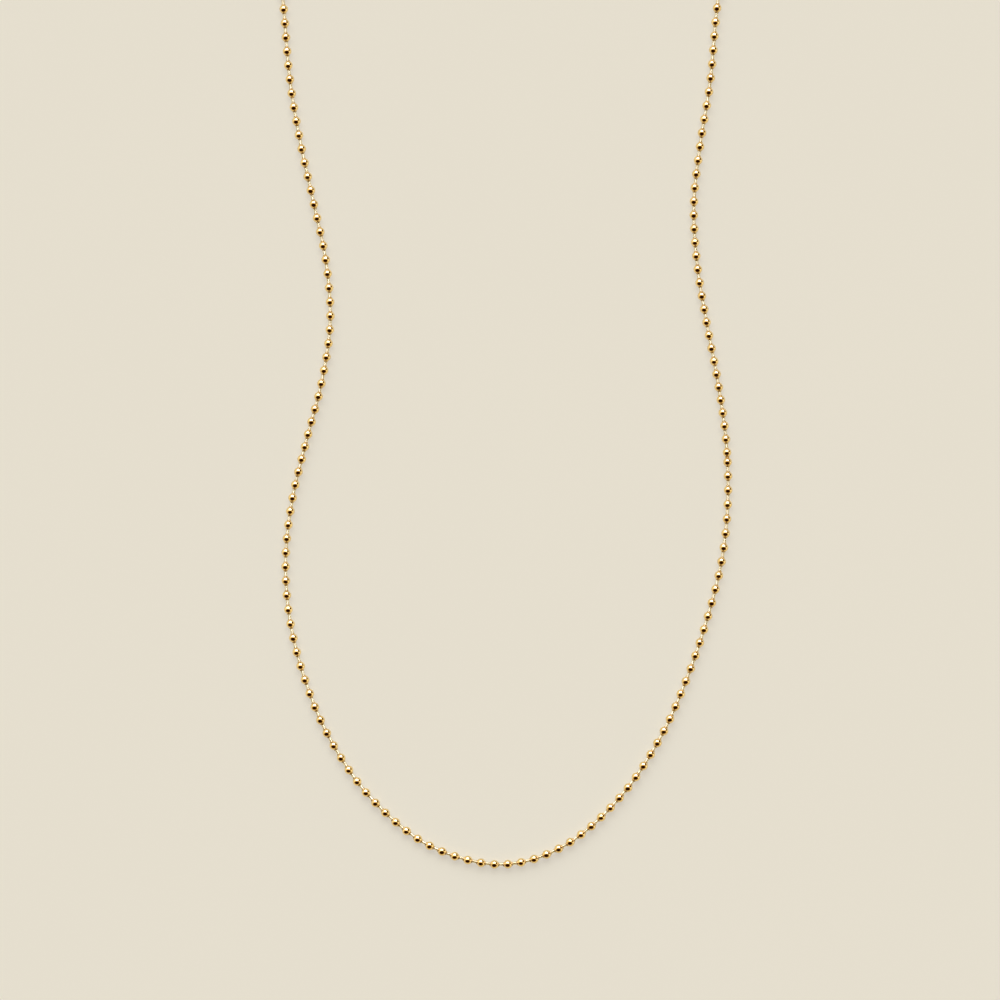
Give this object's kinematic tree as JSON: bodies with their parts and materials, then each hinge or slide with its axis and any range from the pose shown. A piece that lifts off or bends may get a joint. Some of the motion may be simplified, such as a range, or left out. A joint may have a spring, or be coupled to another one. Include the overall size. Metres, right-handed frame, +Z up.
{
  "type": "ball chain necklace",
  "caption": "Gold ball chain necklace laid flat as a closed loop: hollow balls joined by headed pins, closed at the back of the neck by a slotted barrel coupling.",
  "frame": {"origin": "on the surface that the necklace lies on, under the middle of its box", "axes": "+Z up from the surface, +Y towards the coupling at the back of the neck, +X to the right seen from above"},
  "size_m": [0.0766, 0.1864, 0.0021],
  "materials": {
    "gold_plate": "polished gold plate",
    "gold_coupling": "polished gold plate, rolled sheet"
  },
  "bodies": {
    "root": {"left_strand": "gold_plate", "right_strand": "gold_plate", "coupling": "gold_coupling"}
  },
  "joints": []
}
